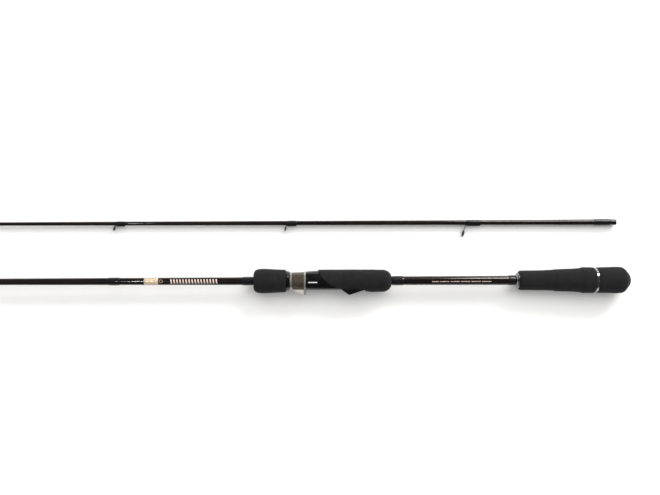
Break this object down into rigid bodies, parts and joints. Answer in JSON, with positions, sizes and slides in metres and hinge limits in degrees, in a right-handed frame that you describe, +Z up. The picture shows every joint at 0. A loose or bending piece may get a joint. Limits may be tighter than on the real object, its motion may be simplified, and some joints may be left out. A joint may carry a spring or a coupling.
{
  "type": "spinning rod",
  "caption": "Two-piece spinning rod taken apart, foam grips, screw-down reel seat with a sliding hood, single-foot ring guides, sections laid side by side.",
  "frame": {"origin": "on the table, under the middle of the two sections as they lie side by side", "axes": "+X along both sections towards the butt end, +Y away from the reel side, +Z up from the table"},
  "size_m": [1.115, 0.1027, 0.0306],
  "materials": {
    "carbon_blank": "black varnished carbon tube",
    "thread": "black thread under clear varnish",
    "guide_metal": "dark plated stainless sheet",
    "guide_ceramic": "polished dark grey ceramic",
    "foam": "matte closed-cell foam",
    "black_rubber": "matte",
    "polished_metal": "polished",
    "seat_plastic": "gloss black moulding",
    "arbor_plastic": "matte",
    "hood_metal": "smoky brown gloss",
    "collar_metal": "dark anodised, polished"
  },
  "bodies": {
    "butt_section": {"butt_blank": "carbon_blank", "trim_winding": "thread", "seat_winding": "thread", "fore_winding": "thread", "band_winding": "thread", "butt_guide_frame": "guide_metal", "butt_guide_ring": "guide_ceramic", "butt_guide_front_winding": "thread", "butt_guide_rear_winding": "thread", "butt_grip": "foam", "butt_plug": "black_rubber", "accent_ring": "polished_metal", "rear_grip": "foam", "winding_check": "polished_metal", "reel_seat_body": "seat_plastic", "rear_arbor": "arbor_plastic", "front_arbor": "arbor_plastic", "seat_grip": "foam"},
    "hood": {"moving_hood": "hood_metal", "hood_liner": "seat_plastic", "hood_front_rim": "polished_metal", "hood_mouth_rim": "polished_metal"},
    "nut_and_foregrip": {"lock_nut": "seat_plastic", "nut_collar": "collar_metal", "foregrip": "foam"},
    "tip_section": {"tip_blank": "carbon_blank", "ferrule_winding": "thread", "tip_top_frame": "guide_metal", "tip_top_ring": "guide_ceramic", "guide_1_frame": "guide_metal", "guide_1_ring": "guide_ceramic", "guide_1_winding": "thread", "guide_2_frame": "guide_metal", "guide_2_ring": "guide_ceramic", "guide_2_winding": "thread", "guide_3_frame": "guide_metal", "guide_3_ring": "guide_ceramic", "guide_3_winding": "thread", "guide_4_frame": "guide_metal", "guide_4_ring": "guide_ceramic", "guide_4_winding": "thread", "guide_5_frame": "guide_metal", "guide_5_ring": "guide_ceramic", "guide_5_winding": "thread", "guide_6_frame": "guide_metal", "guide_6_ring": "guide_ceramic", "guide_6_winding": "thread"}
  },
  "joints": [
    {"name": "hood_slide", "type": "slide", "parent": "butt_section", "child": "hood", "axis": [-1, 0, 0], "range_m": [0, 0.01351]},
    {"name": "lock_nut_turn", "type": "hinge", "parent": "hood", "child": "nut_and_foregrip", "pos_m": [0.158, -0.0182, 0.015], "axis": [-1, 0, 0], "range_deg": [0, 2430]},
    {"name": "tip_section_slide", "type": "slide", "parent": "butt_section", "child": "tip_section", "axis": [-0.9989, -0.0473, 0.0076], "range_m": [0, 1.38959]}
  ],
  "couplings": [
    {"joint": "hood_slide", "follows": "lock_nut_turn", "m_per_rad": 0.00031831}
  ]
}
